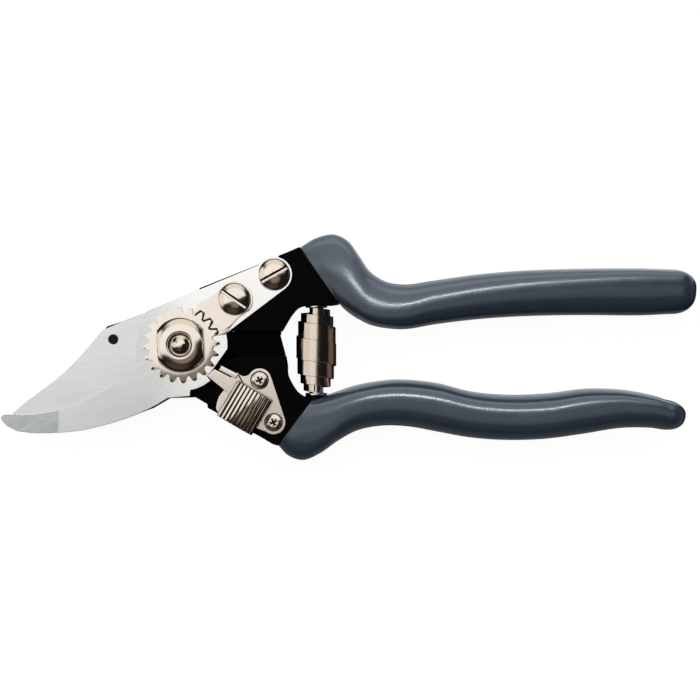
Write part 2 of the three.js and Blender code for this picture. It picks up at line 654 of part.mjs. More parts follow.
function catchLeafSpring() {
  const { x, y, length, width, thickness, rise, bottom } = LEAF;
  const shape = new THREE.Shape();
  shape.moveTo(-length / 2, bottom);
  shape.quadraticCurveTo(0, bottom + 2 * rise, length / 2, bottom);
  shape.lineTo(length / 2, bottom + thickness);
  shape.quadraticCurveTo(0, bottom + thickness + 2 * rise, -length / 2, bottom + thickness);
  const settings = { depth: width, bevelEnabled: false, curveSegments: 8 };
  const geometry = new THREE.ExtrudeGeometry(shape, settings);
  geometry.translate(0, 0, -width / 2);
  geometry.rotateX(Math.PI / 2);
  geometry.rotateZ(radians(CATCH_ANGLE));
  geometry.translate(x, y, 0);
  return solid(geometry);
}

// ---------------------------------------------------------------- materials and assembly

function finish(color, roughness, metalness) {
  return new THREE.MeshStandardMaterial({ color, roughness, metalness });
}

const blackEnamel = finish(0x0b0d0f, 0.4, 0.1);
const slateVinyl = finish(0x3f4856, 0.3, 0.0);
const brushedSteel = finish(0xc9ced1, 0.35, 0.9);
const brightNickel = finish(0xd2c6b6, 0.15, 1.0);
const blackRubber = finish(0x0a0a0b, 0.8, 0.0);
const bronze = finish(0x9a7a4a, 0.4, 0.9);

const PIECES = [
  ['upper_handle_core', upperHandleCore(), blackEnamel],
  ['upper_grip', grip(UPPER_STATIONS), slateVinyl],
  ['counter_blade', counterBlade(), brushedSteel],
  ['toothed_washer', toothedWasher(), brightNickel],
  ['toothed_segment', toothedSegment(), brightNickel],
  ['segment_screw', slottedScrew(SEGMENT_SCREW), brightNickel],
  ['tang_screw', slottedScrew(TANG_SCREW), brightNickel],
  ['pivot_bolt', pivotBolt(), brightNickel],
  ['pivot_nut', pivotNut(), brightNickel],
  ['upper_spring_stud', springStud(STUD.upperSeat, -1), brightNickel],
  ['volute_spring', voluteSpring(), brightNickel],
  ['lower_handle_core', lowerHandleCore(), blackEnamel],
  ['lower_grip', lowerGrip(), slateVinyl],
  ['cutting_blade', cuttingBlade(), brushedSteel],
  ['blade_rivet', bladeRivet(), blackEnamel],
  ['pivot_bush', pivotBush(), bronze],
  ['rubber_buffer', rubberBuffer(), blackRubber],
  ['lower_spring_stud', springStud(STUD.lowerSeat, 1), brightNickel],
  ['catch_plate', catchPlate(), brightNickel],
  ['catch_screw_upper', crossScrew(CATCH_SCREWS[0]), brightNickel],
  ['catch_screw_lower', crossScrew(CATCH_SCREWS[1]), brightNickel],
  ['catch_leaf_spring', catchLeafSpring(), brushedSteel],
  ['catch_tongue', catchTongue(), brightNickel],
  ['catch_button', catchButton(), brightNickel],
  ['catch_rivet', catchRivet(), brightNickel],
];

const group = new THREE.Group();
for (const [name, body, material] of PIECES) {
  const mesh = new THREE.Mesh(geometryOf(body), material);
  mesh.name = name;
  group.add(mesh);
}

export default group;
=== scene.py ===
"""Bypass pruning shears, closed and latched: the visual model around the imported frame.

Shapes are given in millimetres in the frame's own axes and turned into metres as each mesh is made.
"""

import json
import math

import bmesh
import bpy
import numpy as np
from mathutils import Matrix, Vector

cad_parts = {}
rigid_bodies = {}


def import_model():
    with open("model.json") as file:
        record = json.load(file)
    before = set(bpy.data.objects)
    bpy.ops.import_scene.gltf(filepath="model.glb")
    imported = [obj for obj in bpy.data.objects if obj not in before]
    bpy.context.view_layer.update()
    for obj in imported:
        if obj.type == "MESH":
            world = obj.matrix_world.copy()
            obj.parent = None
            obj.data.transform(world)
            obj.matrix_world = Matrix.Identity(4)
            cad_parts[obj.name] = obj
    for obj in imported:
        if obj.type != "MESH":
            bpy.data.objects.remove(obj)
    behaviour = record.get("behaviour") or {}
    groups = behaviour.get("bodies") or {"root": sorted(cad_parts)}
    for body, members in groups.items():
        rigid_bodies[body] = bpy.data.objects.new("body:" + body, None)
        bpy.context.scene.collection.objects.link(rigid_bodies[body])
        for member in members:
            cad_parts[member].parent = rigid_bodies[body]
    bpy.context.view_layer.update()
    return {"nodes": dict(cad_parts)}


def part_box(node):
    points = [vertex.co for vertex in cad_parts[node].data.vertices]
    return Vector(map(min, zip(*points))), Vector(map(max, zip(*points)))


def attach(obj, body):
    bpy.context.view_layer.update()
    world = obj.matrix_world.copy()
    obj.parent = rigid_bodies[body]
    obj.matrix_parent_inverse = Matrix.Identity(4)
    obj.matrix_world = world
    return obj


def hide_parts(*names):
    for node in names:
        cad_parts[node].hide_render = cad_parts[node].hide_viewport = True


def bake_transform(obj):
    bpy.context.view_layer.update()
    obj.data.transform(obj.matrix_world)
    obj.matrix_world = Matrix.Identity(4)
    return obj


for leftover in list(bpy.data.objects):
    bpy.data.objects.remove(leftover)

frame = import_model()

SCENE = bpy.context.scene
MM = 0.001
# The catch's slide, in degrees from X
CATCH_ANGLE = -30.6


def extent(node):
    """The lowest and highest corner of a CAD node, in mm."""
    return tuple(np.array(corner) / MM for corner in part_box(node))


def middle(node):
    """The middle of a CAD node's box, in mm."""
    low, high = extent(node)
    return (low + high) / 2


# ------------ materials

# How softly a sector's arcs end, in mm to each side
SOFT_EDGE = 0.1


class NodeTree:
    """The emptied node tree of a material or world, with the calls that add nodes to it."""

    def __init__(self, owner):
        owner.use_nodes = True
        self.tree = owner.node_tree
        self.tree.nodes.clear()

    def add(self, kind, **settings):
        """A new node of a kind, with its settings."""
        node = self.tree.nodes.new(kind)
        for setting, value in settings.items():
            setattr(node, setting, value)
        return node

    def feed(self, value, socket):
        """Links value to a socket if it is another node's output, or else sets the socket to it."""
        if isinstance(value, bpy.types.NodeSocket):
            self.tree.links.new(value, socket)
        else:
            socket.default_value = value

    def maths(self, operation, *values):
        """An operation on numbers, each fixed or another node's output."""
        node = self.add("ShaderNodeMath", operation=operation)
        for value, socket in zip(values, node.inputs):
            self.feed(value, socket)
        return node.outputs[0]

    def vector(self, operation, *values):
        """An operation on vectors, each fixed or another node's output."""
        node = self.add("ShaderNodeVectorMath", operation=operation)
        for value, socket in zip(values, node.inputs):
            self.feed(value, socket)
        return node.outputs["Value" if operation in ("LENGTH", "DOT_PRODUCT") else "Vector"]

    def spread(self, value, low, high, start=0.3, end=0.7):
        """value from start to end, eased onto low to high."""
        ease = self.add("ShaderNodeMapRange", interpolation_type="SMOOTHSTEP")
        for number, socket in zip((value, start, end, low, high), ease.inputs):
            self.feed(number, socket)
        return ease.outputs[0]


class Finish(NodeTree):
    """A procedural material. Sizes and places in its calls are in mm."""

    def __init__(self, name, **uniform):
        """Uniform values are set on the shader's own sockets."""
        self.material = bpy.data.materials.new(name)
        super().__init__(self.material)
        self.shader = self.add("ShaderNodeBsdfPrincipled")
        self.feed(self.shader.outputs[0], self.add("ShaderNodeOutputMaterial").inputs[0])
        self.place = self.add("ShaderNodeTexCoord").outputs["Object"]
        for socket, value in uniform.items():
            self.shader.inputs[socket.replace("_", " ")].default_value = value

    def noise(self, size, angle=0.0, detail=3.0, roughness=0.55):
        """Noise from 0 to 1 whose features have the given size, or three sizes turned about Z."""
        sizes = size if isinstance(size, tuple) else (size, size, size)
        mapping = self.add("ShaderNodeMapping", vector_type="TEXTURE")
        mapping.inputs["Rotation"].default_value = (0, 0, math.radians(angle))
        mapping.inputs["Scale"].default_value = [side * MM for side in sizes]
        noise = self.add("ShaderNodeTexNoise")
        noise.inputs["Scale"].default_value = 1.0
        noise.inputs["Detail"].default_value = detail
        noise.inputs["Roughness"].default_value = roughness
        self.feed(self.place, mapping.inputs["Vector"])
        self.feed(mapping.outputs[0], noise.inputs["Vector"])
        return noise.outputs[0]

    def along(self, axis, start, end):
        """0 before start and 1 after end, along an axis of the frame."""
        split = self.add("ShaderNodeSeparateXYZ")
        self.feed(self.place, split.inputs[0])
        return self.spread(split.outputs[axis], 0.0, 1.0, start * MM, end * MM)

    def sector(self, inner, outer, angle, half):
        """1 on a part of a ring about the pivot: its radii, and half degrees to each side of an angle."""
        flat = self.vector("MULTIPLY", self.place, (1.0, 1.0, 0.0))
        reach = self.vector("LENGTH", flat)
        turn = math.radians(angle)
        towards = (math.cos(turn), math.sin(turn), 0.0)
        aside = self.vector("DOT_PRODUCT", self.vector("NORMALIZE", flat), towards)
        edge = math.cos(math.radians(half))
        outside = self.spread(reach, 0.0, 1.0, (inner - SOFT_EDGE) * MM, (inner + SOFT_EDGE) * MM)
        inside = self.spread(reach, 1.0, 0.0, (outer - SOFT_EDGE) * MM, (outer + SOFT_EDGE) * MM)
        between = self.spread(aside, 0.0, 1.0, edge - 0.01, edge + 0.01)
        return self.maths("MULTIPLY", self.maths("MULTIPLY", outside, inside), between)

    def sum(self, *parts):
        """Parts are (value, weight) pairs."""
        total = 0.0
        for value, weight in parts:
            total = self.maths("MULTIPLY_ADD", value, weight, total)
        return total

    def blend(self, share, first, second):
        """A colour from first at share 0 to second at share 1. Each is a colour or a socket."""
        mix = self.add("ShaderNodeMix", data_type="RGBA")
        self.feed(share, mix.inputs["Factor"])
        for socket, colour in ((mix.inputs[6], first), (mix.inputs[7], second)):
            self.feed((*colour, 1.0) if isinstance(colour, tuple) else colour, socket)
        return mix.outputs[2]

    def colour(self, value):
        """The colour all over the surface."""
        self.feed(value, self.shader.inputs["Base Color"])

    def gloss(self, value, smoothest, roughest):
        """Roughness from smoothest where value is low to roughest where it is high."""
        self.feed(self.spread(value, smoothest, roughest), self.shader.inputs["Roughness"])

    def relief(self, value, height):
        """Bump whose full range stands height proud."""
        bump = self.add("ShaderNodeBump")
        bump.inputs["Strength"].default_value = 1.0
        bump.inputs["Distance"].default_value = height * MM
        self.feed(value, bump.inputs["Height"])
        self.feed(bump.outputs[0], self.shader.inputs["Normal"])


def slate_vinyl():
    """The grips' dipped coat: glossy, with a faint swell and orange peel."""
    finish = Finish("slate_vinyl", Specular_IOR_Level=0.5)
    cloud = finish.noise(9)
    peel = finish.noise(0.55, detail=2)
    swell = finish.noise(5, detail=1)
    finish.colour(finish.blend(cloud, (0.018, 0.025, 0.034), (0.023, 0.032, 0.043)))
    finish.gloss(finish.sum((cloud, 0.6), (peel, 0.4)), 0.19, 0.27)
    finish.relief(finish.sum((swell, 0.8), (peel, 0.05)), 0.05)
    return finish.material


def black_enamel():
    """The forged handles' coat, over a slightly rough casting."""
    finish = Finish("black_enamel", Specular_IOR_Level=0.04)
    cast = finish.noise(0.8, detail=4)
    cloud = finish.noise(7)
    finish.colour(finish.blend(cloud, (0.0008, 0.0010, 0.0010), (0.0018, 0.0021, 0.0022)))
    finish.gloss(finish.sum((cloud, 0.5), (cast, 0.5)), 0.26, 0.40)
    finish.relief(cast, 0.010)
    return finish.material


def brushed_steel(name, angle, dark, bright):
    """Ground steel with its lines at an angle from X."""
    finish = Finish(name, Metallic=1.0)
    lines = finish.noise((11, 0.3, 4), angle, detail=3, roughness=0.7)
    hair = finish.noise((5, 0.14, 2), angle, detail=2)
    cloud = finish.noise((14, 9, 9), angle, detail=2)
    tone = finish.sum((lines, 0.5), (hair, 0.3), (cloud, 0.2))
    finish.colour(finish.blend(finish.spread(tone, 0.0, 1.0, 0.38, 0.62), dark, bright))
    finish.gloss(lines, 0.17, 0.26)
    finish.relief(finish.sum((lines, 0.7), (hair, 0.3)), 0.010)
    return finish.material


def nickel(name, base, worn, smoothest=0.07, roughest=0.17, wave=0.005, shadow=None):
    """Bright plating, a little wavy and finely scratched. Where a shadow is given, it is painted dark
    as shade below the first of its two heights and clean above the second."""
    finish = Finish(name, Metallic=1.0)
    cloud = finish.noise(3.5, detail=2)
    swell = finish.noise(1.6, detail=1)
    scratch = finish.noise((3.0, 0.08, 0.3), 35, detail=2)
    colour = finish.blend(cloud, worn, base)
    if shadow:
        # Painted shade: dark below the shadow's first height, clean above its second
        colour = finish.blend(finish.along(2, *shadow), (0.05, 0.04, 0.03), colour)
    finish.colour(colour)
    finish.gloss(finish.sum((cloud, 0.6), (scratch, 0.4)), smoothest, roughest)
    finish.relief(finish.sum((swell, 0.9), (scratch, 0.06)), wave)
    return finish.material


def counter_steel():
    """The hook is ground coarsely and its nose painted darker, a painted dark reflection; the disc and
    tang are polished, and painted shade lies on the disc in the gap beside the segment's teeth."""
    finish = Finish("counter_steel", Metallic=1.0)
    lines = finish.noise((9, 0.40, 4), 24, detail=3, roughness=0.7)
    hair = finish.noise((4, 0.15, 2), 24, detail=2)
    cloud = finish.noise((9, 6, 6), 24, detail=2)
    polished = finish.along(0, -14, 8)
    tone = finish.spread(finish.sum((lines, 0.35), (hair, 0.4), (cloud, 0.25)), 0.0, 1.0, 0.36, 0.64)
    # The nose's darker colour is a painted dark reflection of its ground face
    nose = finish.blend(tone, (0.46, 0.495, 0.505), (0.62, 0.655, 0.66))
    ground = finish.blend(tone, (0.78, 0.795, 0.815), (0.88, 0.89, 0.905))
    bright = finish.blend(cloud, (0.95, 0.95, 0.945), (0.98, 0.98, 0.975))
    hook = finish.blend(finish.along(0, -37.2, -36.6), nose, ground)
    steel = finish.blend(polished, hook, bright)
    # Painted shade on the disc in the gap between the washer's teeth and the segment
    painted_gap_shade = finish.sector(9.3, 12.4, 40.6, 25.5)
    finish.colour(finish.blend(painted_gap_shade, steel, (0.035, 0.028, 0.020)))
    finish.feed(finish.spread(polished, 0.25, 0.14, 0.0, 1.0), finish.shader.inputs["Roughness"])
    finish.relief(finish.sum((lines, 0.7), (hair, 0.3)), 0.008)
    return finish.material


def grained(name, grain, detail, cloud, colours, roughness, height, **uniform):
    """One grain gives the relief and the gloss. Clouds of a size, or else the grain, give the colour."""
    finish = Finish(name, **uniform)
    fine = finish.noise(grain, detail=detail)
    finish.colour(finish.blend(finish.noise(cloud) if cloud else fine, *colours))
    finish.gloss(fine, *roughness)
    finish.relief(fine, height)
    return finish.material


VINYL = slate_vinyl()
ENAMEL = black_enamel()
CUTTING_STEEL = brushed_steel("cutting_steel", 2, (0.76, 0.78, 0.80), (0.86, 0.875, 0.895))
COUNTER_STEEL = counter_steel()
LEAF_STEEL = brushed_steel("leaf_steel", CATCH_ANGLE, (0.45, 0.45, 0.46), (0.62, 0.62, 0.63))
NICKEL = nickel("bright_nickel", (0.90, 0.83, 0.755), (0.84, 0.755, 0.67))
SPRING_NICKEL = nickel("spring_nickel", (0.80, 0.72, 0.64), (0.68, 0.58, 0.50), 0.08, 0.16, 0.003)
SATIN_NICKEL = nickel("satin_nickel", (0.92, 0.83, 0.75), (0.84, 0.74, 0.65), 0.14, 0.24, 0.002)
# The catch plate carries painted shade on its faces below 14.25 mm, clearing by 14.42 mm
PLATE_NICKEL = nickel(
    "plate_nickel", (0.99, 0.915, 0.845), (0.93, 0.845, 0.765), 0.14, 0.24, 0.002, shadow=(14.25, 14.42)
)
BRONZE = grained(
    "bronze", (3, 3, 0.2), 2, 2.5, ((0.34, 0.20, 0.09), (0.50, 0.32, 0.15)), (0.25, 0.45), 0.006, Metallic=1.0
)
RUBBER = grained(
    "black_rubber", 0.35, 4, 4, ((0.0008, 0.0009, 0.0009), (0.0018, 0.0019, 0.0019)), (0.6, 0.85), 0.03,
    Specular_IOR_Level=0.05
)
# The blade's rivet is black oxide; the bottoms of slots, recesses and grooves use it as painted shade
BLACK_OXIDE_AND_SHADE = grained(
    "black_oxide", 0.5, 4, None, ((0.0035, 0.0035, 0.004), (0.009, 0.009, 0.010)), (0.35, 0.55), 0.01,
    Specular_IOR_Level=0.25
)

# ------------ making pieces


def placed(name, data):
    """A new object in the scene."""
    made = bpy.data.objects.new(name, data)
    SCENE.collection.objects.link(made)
    return made


def points_mesh(vertices, faces):
    """A mesh from points in mm."""
    mesh = bpy.data.meshes.new("points")
    mesh.from_pydata([Vector(point) * MM for point in vertices], [], faces)
    return mesh


def outward(mesh):
    """A mesh with its faces turned outwards."""
    shape = bmesh.new()
    shape.from_mesh(mesh)
    bmesh.ops.recalc_face_normals(shape, faces=shape.faces)
    shape.to_mesh(mesh)
    shape.free()
    return mesh


def raw_mesh(vertices, faces):
    """A closed mesh from points in mm, to be cut or to cut with."""
    return outward(points_mesh(vertices, faces))


def piece(node, suffix, mesh, body, material, sharp=32):
    """A new piece that stands for a CAD node, smooth but for edges sharper than an angle. Without
    a body it is left unattached."""
    outward(mesh)
    mesh.shade_smooth()
    mesh.set_sharp_from_angle(angle=math.radians(sharp))
    mesh.materials.clear()
    mesh.materials.append(material)
    made = placed(f"{node}_{suffix}", mesh)
    if body:
        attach(made, body)
    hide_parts(node)
    return made


def soften(made, width, angle=30):
    """Rounds the edges sharper than an angle by a width in mm."""
    bevel = made.modifiers.new("edges", "BEVEL")
    bevel.width = width * MM
    bevel.segments = 2
    bevel.limit_method = "ANGLE"
    bevel.angle_limit = math.radians(angle)
    bevel.use_clamp_overlap = False
    normals = made.modifiers.new("normals", "WEIGHTED_NORMAL")
    normals.keep_sharp = False


def clean_faces():
    """Geometry nodes that join a mesh's split faces and drop its stored normals."""
    group = bpy.data.node_groups.new("clean_faces", "GeometryNodeTree")
    for direction in ("INPUT", "OUTPUT"):
        group.interface.new_socket("Geometry", in_out=direction, socket_type="NodeSocketGeometry")
    merge = group.nodes.new("GeometryNodeMergeByDistance")
    merge.inputs["Distance"].default_value = 0.002 * MM
    group.links.new(group.nodes.new("NodeGroupInput").outputs[0], merge.inputs[0])
    last = merge.outputs[0]
    for attribute in ("custom_normal", "sharp_edge", "sharp_face"):
        drop = group.nodes.new("GeometryNodeRemoveAttribute")
        drop.inputs["Name"].default_value = attribute
        group.links.new(last, drop.inputs[0])
        last = drop.outputs[0]
    group.links.new(last, group.nodes.new("NodeGroupOutput").inputs[0])
    return group


CLEAN_FACES = clean_faces()


def flatten(made):
    """Joins the CAD triangles of each flat face into one."""
    made.modifiers.new("clean", "NODES").node_group = CLEAN_FACES
    flat = made.modifiers.new("flat", "DECIMATE")
    flat.decimate_type = "DISSOLVE"
    flat.angle_limit = math.radians(1)


def dress(node, material, width, joined=True):
    """Gives a CAD node rounded edges and its material. Where the flat faces aren't joined, only
    the seams between its triangles are closed."""
    made = frame["nodes"][node]
    for held in made.material_slots:
        held.material = material
    if joined:
        flatten(made)
    else:
        made.modifiers.new("clean", "NODES").node_group = CLEAN_FACES
    soften(made, width)


def evaluated(made):
    """The mesh of an object with its modifiers applied."""
    view = made.evaluated_get(bpy.context.evaluated_depsgraph_get())
    return bpy.data.meshes.new_from_object(view)


def flat_copy(node):
    """A copy of a CAD node's mesh with its flat faces joined."""
    made = placed("copy", frame["nodes"][node].data.copy())
    flatten(made)
    mesh = evaluated(made)
    bpy.data.objects.remove(made)
    return mesh


def cut(mesh, *tools):
    """A mesh with each tool mesh cut out of it."""
    made = placed("stock", mesh)
    cutters = [placed("tool", tool) for tool in tools]
    for cutter in cutters:
        boolean = made.modifiers.new("cut", "BOOLEAN")
        boolean.operation = "DIFFERENCE"
        boolean.solver = "EXACT"
        boolean.object = cutter
    result = evaluated(made)
    for thing in (made, *cutters):
        bpy.data.objects.remove(thing)
    return result


def spline(points, t):
    """A centripetal Catmull-Rom curve through points, at t from 0 to 1."""
    last = len(points) - 1
    i = min(int(t * last), last - 1)
    w = t * last - i
    b, c = points[i], points[i + 1]
    a = points[i - 1] if i else 2 * b - c
    d = points[i + 2] if i + 2 <= last else 2 * c - b
    u, v, x = (max(math.sqrt(np.linalg.norm(q - p)), 1e-4) for p, q in ((a, b), (b, c), (c, d)))
    leave = ((b - a) / u - (c - a) / (u + v) + (c - b) / v) * v
    arrive = ((c - b) / v - (d - b) / (v + x) + (d - c) / x) * v
    return b + leave * w + (3 * (c - b) - 2 * leave - arrive) * w**2 + (2 * (b - c) + leave + arrive) * w**3


def bands(rows, around):
    """Four-sided faces that join each ring of points to the next, all rings having as many points."""
    faces = []
    for row in range(rows - 1):
        here, there = row * around, (row + 1) * around
        for i in range(around):
            j = (i + 1) % around
            faces.append((here + i, here + j, there + j, there + i))
    return faces


def rounded(points, radius, steps=4):
    """A polyline whose inner corners are rounded, never by more than half a side."""
    points = [np.array(point, float) for point in points]
    made = [points[0]]
    for before, corner, after in zip(points, points[1:], points[2:]):
        back, ahead = before - corner, after - corner
        lengths = np.linalg.norm(back), np.linalg.norm(ahead)
        back, ahead = back / lengths[0], ahead / lengths[1]
        half = math.acos(max(-1.0, min(1.0, float(back @ ahead)))) / 2
        if half > math.radians(88):
            made.append(corner)
            continue
        reach = min(radius / math.tan(half), 0.49 * min(lengths))
        start, end = corner + back * reach, corner + ahead * reach
        for step in range(steps + 1):
            t = step / steps
            made.append((1 - t) ** 2 * start + 2 * t * (1 - t) * corner + t * t * end)
    made.append(points[-1])
    return [tuple(point) for point in made]


def lathe(profile, segments, centre=(0, 0)):
    """Vertices and faces of a (radius, height) profile turned about a vertical axis. A profile
    that doesn't start and end on the axis is closed on itself."""
    vertices, rings = [], []
    for radius, height in profile:
        if radius < 1e-6:
            rings.append([len(vertices)] * segments)
            vertices.append((centre[0], centre[1], height))
            continue
        rings.append(list(range(len(vertices), len(vertices) + segments)))
        for i in range(segments):
            angle = 2 * math.pi * i / segments
            x, y = radius * math.cos(angle), radius * math.sin(angle)
            vertices.append((centre[0] + x, centre[1] + y, height))
    pairs = list(zip(rings, rings[1:]))
    if profile[0][0] > 1e-6:
        pairs.append((rings[-1], rings[0]))
    faces = []
    for low, high in pairs:
        for i in range(segments):
            j = (i + 1) % segments
            face = [low[i], low[j], high[j], high[i]]
            faces.append([v for k, v in enumerate(face) if v != face[k - 1]])
    return vertices, faces


# The corners of a square about the origin
SQUARE = ((-1, -1), (1, -1), (1, 1), (-1, 1))


def block(length, width, low, high, centre, angle):
    """Vertices and faces of a box turned about Z, for cutting slots."""
    turn = Matrix.Rotation(math.radians(angle), 3, "Z")
    vertices = []
    for z in (low, high):
        for x, y in SQUARE:
            corner = turn @ Vector((x * length / 2, y * width / 2, 0))
            vertices.append((centre[0] + corner.x, centre[1] + corner.y, z))
    faces = [(3, 2, 1, 0), (4, 5, 6, 7)]
    faces += [(i, (i + 1) % 4, (i + 1) % 4 + 4, i + 4) for i in range(4)]
    return vertices, faces


# ------------ grips

# Stations along each grip: the section's upper end, its lower end and its half depth
UPPER_STATIONS = [
    ((35.6, 29.6), (47.4, 12.5), 7.2), ((40.2, 32.3), (48.3, 11.4), 8.0),
    ((45.6, 33.4), (49.8, 10.1), 8.6), ((49.9, 31.4), (51.6, 8.8), 9.0),
    ((53.1, 27.2), (53.9, 7.5), 9.2), ((56.5, 22.3), (56.7, 6.2), 9.2),
    ((61.0, 19.2), (60.8, 5.3), 9.2), ((67.0, 18.2), (67.0, 4.9), 9.2),
    ((76.0, 19.4), (76.4, 6.4), 9.2), ((88.5, 21.2), (88.8, 7.9), 9.2),
    ((102.0, 22.4), (102.0, 8.8), 9.2), ((120.0, 23.0), (120.0, 9.2), 9.2),
    ((138.0, 23.1), (138.0, 9.1), 9.2), ((147.8, 22.8), (147.4, 9.5), 8.8),
]
LOWER_STATIONS = [
    ((39.6, -16.4), (29.1, -30.5), 7.0), ((43.2, -15.3), (31.8, -33.3), 7.8),
    ((47.0, -13.9), (36.4, -34.7), 8.5), ((50.8, -12.6), (41.6, -32.6), 9.0),
    ((54.6, -11.7), (47.0, -28.8), 9.2), ((58.8, -11.0), (52.8, -25.7), 9.2),
    ((64.0, -10.5), (60.0, -24.3), 9.2), ((70.0, -10.7), (68.0, -24.5), 9.2),
    ((77.5, -11.7), (77.0, -26.1), 9.2), ((87.5, -14.2), (86.5, -27.8), 9.2),
    ((98.5, -15.2), (97.0, -28.6), 9.2), ((110.0, -14.8), (109.0, -28.3), 9.2),
    ((122.0, -13.3), (120.5, -26.8), 9.2), ((133.0, -13.6), (132.0, -25.0), 9.2),
    ((142.0, -15.3), (141.0, -24.9), 8.9), ((146.0, -16.6), (144.7, -25.4), 8.2),
]
UPPER_DOME, LOWER_DOME = 7.6, 6.6
# The section's superellipse power, and how far the skin stands proud of its stations
SQUARENESS = 2.5
SKIN_SWELL = 0.12
# The mouth: the skin's wall, where its lip starts ahead of the first station, and its rounding
GRIP_WALL = 2.0
LIP_START = -0.35
LIP_RADIUS = 0.25
# The rings of the hollow and of the skin leave the lip this far clear. The hollow stops this many
# stations before the last.
HOLLOW_CLEAR, SKIN_CLEAR = 1.2, 1.0
HOLLOW_SHORT = 1.4
# The end is a dome of this superellipse power
DOME_POWER = 2.2
DOME_STEPS = 14
GRIP_AROUND = 64
GRIP_PER_STATION = 9


class Grip:
    """The skin of one dipped grip: rounded mouth, hollow for the handle's bar, domed end."""

    def __init__(self, stations, dome, crowns):
        self.rows = [np.array([*top, *bottom, half]) for top, bottom, half in stations]
        self.dome = dome
        self.crowns = crowns
        self.height = middle("upper_grip")[2]
        self.vertices = []

    def station(self, t):
        """The section's upper end, lower end and half depth, at t from 0 to 1 along the grip."""
        row = spline(self.rows, t)
        return row[:2], row[2:4], row[4]

    def ring(self, t, inset=0.0, scale=1.0, forward=0.0):
        """One section, drawn in by inset, scaled about its middle and moved along the grip."""
        top, bottom, half = self.station(t)
        centre, across = (top + bottom) / 2, (top - bottom) / 2
        width = np.linalg.norm(across)
        across = across / width
        ahead = np.array([across[1], -across[0]])
        crown = np.interp(centre[0], *zip(*self.crowns))
        for i in range(GRIP_AROUND):
            angle = 2 * math.pi * i / GRIP_AROUND
            sides = (math.cos(angle), math.sin(angle))
            u, z = (math.copysign(abs(side) ** (2 / SQUARENESS), side) for side in sides)
            u += crown * (1 - u * u) * max(z, 0)
            flat = centre + ahead * forward + across * (width + SKIN_SWELL - inset) * scale * u
            self.vertices.append((*flat, self.height + (half - inset) * scale * z))

    def cap(self, ring, flat):
        """Three-sided faces from a ring to a new point in the middle of its end."""
        self.vertices.append((*flat, self.height))
        start, tip = ring * GRIP_AROUND, len(self.vertices) - 1
        return [(start + i, start + (i + 1) % GRIP_AROUND, tip) for i in range(GRIP_AROUND)]

    def build(self, node, body):
        """The rings run from the hollow's end out to the mouth, round its lip and on to the tip."""
        first_step = 0.02
        near, next_to = (sum(self.station(t)[:2]) / 2 for t in (0.0, first_step))
        length = np.linalg.norm(near - next_to) / first_step
        hollow_end = 1 - HOLLOW_SHORT / (len(self.rows) - 1)
        rings = GRIP_PER_STATION * (len(self.rows) - 1)
        start = HOLLOW_CLEAR / length
        for step in range(rings // 3, -1, -1):
            self.ring(start + (hollow_end - start) * step / (rings // 3), GRIP_WALL)
        for side in (1, -1):
            for step in range(5):
                angle = math.pi / 2 * (step / 4 if side > 0 else 1 - step / 4)
                depth = GRIP_WALL / 2 * (1 + side) + LIP_RADIUS * side * (math.cos(angle) - 1)
                self.ring(0.0, depth, forward=LIP_START + LIP_RADIUS * (1 - math.sin(angle)))
        start = SKIN_CLEAR / length
        for step in range(1, rings + 1):
            self.ring(start + (1 - start) * step / rings)
        for step in range(1, DOME_STEPS):
            angle = math.pi / 2 * step / DOME_STEPS
            narrowed, ahead = (share ** (2 / DOME_POWER) for share in (math.cos(angle), math.sin(angle)))
            self.ring(1.0, scale=narrowed, forward=self.dome * ahead)
        rows = len(self.vertices) // GRIP_AROUND
        faces = bands(rows, GRIP_AROUND)
        top, bottom, _ = self.station(1.0)
        across = (top - bottom) / np.linalg.norm(top - bottom)
        faces += self.cap(rows - 1, (top + bottom) / 2 + np.array([across[1], -across[0]]) * self.dome)
        top, bottom, _ = self.station(hollow_end)
        faces += self.cap(0, (top + bottom) / 2)
        return piece(node, "skin", points_mesh(self.vertices, faces), body, VINYL, 80)


# How far the ridge of the front face lies towards the upper side, at places along X
UPPER_CROWNS = [(40, -0.45), (54, -0.42), (62, -0.25), (74, 0.0), (102, 0.18), (132, 0.38), (150, 0.40)]
LOWER_CROWNS = [(32, 0.35), (45, 0.25), (60, 0.12), (110, 0.12), (132, 0.26), (150, 0.30)]

GRIPS = [
    Grip(UPPER_STATIONS, UPPER_DOME, UPPER_CROWNS).build("upper_grip", "upper_handle"),
    Grip(LOWER_STATIONS, LOWER_DOME, LOWER_CROWNS).build("lower_grip", "lower_handle"),
]

# ------------ buffer and the CAD pieces that keep their shape

# The buffer: its top, its corner towards the spring, where along X its two upper corners lie, the
# radii about the pivot of its lip and side, and the degrees where the lip starts and ends and the
# side ends
BUFFER_TOP = 10.9
BUFFER_CORNER = (29.3, 2.8)
BUFFER_SHOULDERS = (29.6, 15.6)
LIP_REACH, SIDE_REACH = 15.2, 14.0
BUFFER_TURNS = (15.4, 24.0, -12.8)


def rubber_buffer():
    """A moulded block between the two heads, with a lip that fills the corner at the pivot disc."""

    def arc(radius, start, end, steps):
        """Points on a circle about the pivot."""
        turns = [math.radians(start + (end - start) * i / steps) for i in range(steps + 1)]
        return [(radius * math.cos(turn), radius * math.sin(turn)) for turn in turns]

    low, high = extent("rubber_buffer")
    lip_start, lip_end, side_end = BUFFER_TURNS
    outline = [(high[0], low[1]), BUFFER_CORNER, *((x, high[1]) for x in BUFFER_SHOULDERS)]
    outline += arc(LIP_REACH, lip_start, lip_end, 4) + arc(SIDE_REACH, lip_end, side_end, 12)
    count = len(outline)
    vertices = [(x, y, z) for z in (low[2], BUFFER_TOP) for x, y in outline]
    faces = [tuple(reversed(range(count))), tuple(range(count, 2 * count)), *bands(2, count)]
    mesh = points_mesh(vertices, faces)
    soften(piece("rubber_buffer", "moulded", mesh, "lower_handle", RUBBER), 0.1)


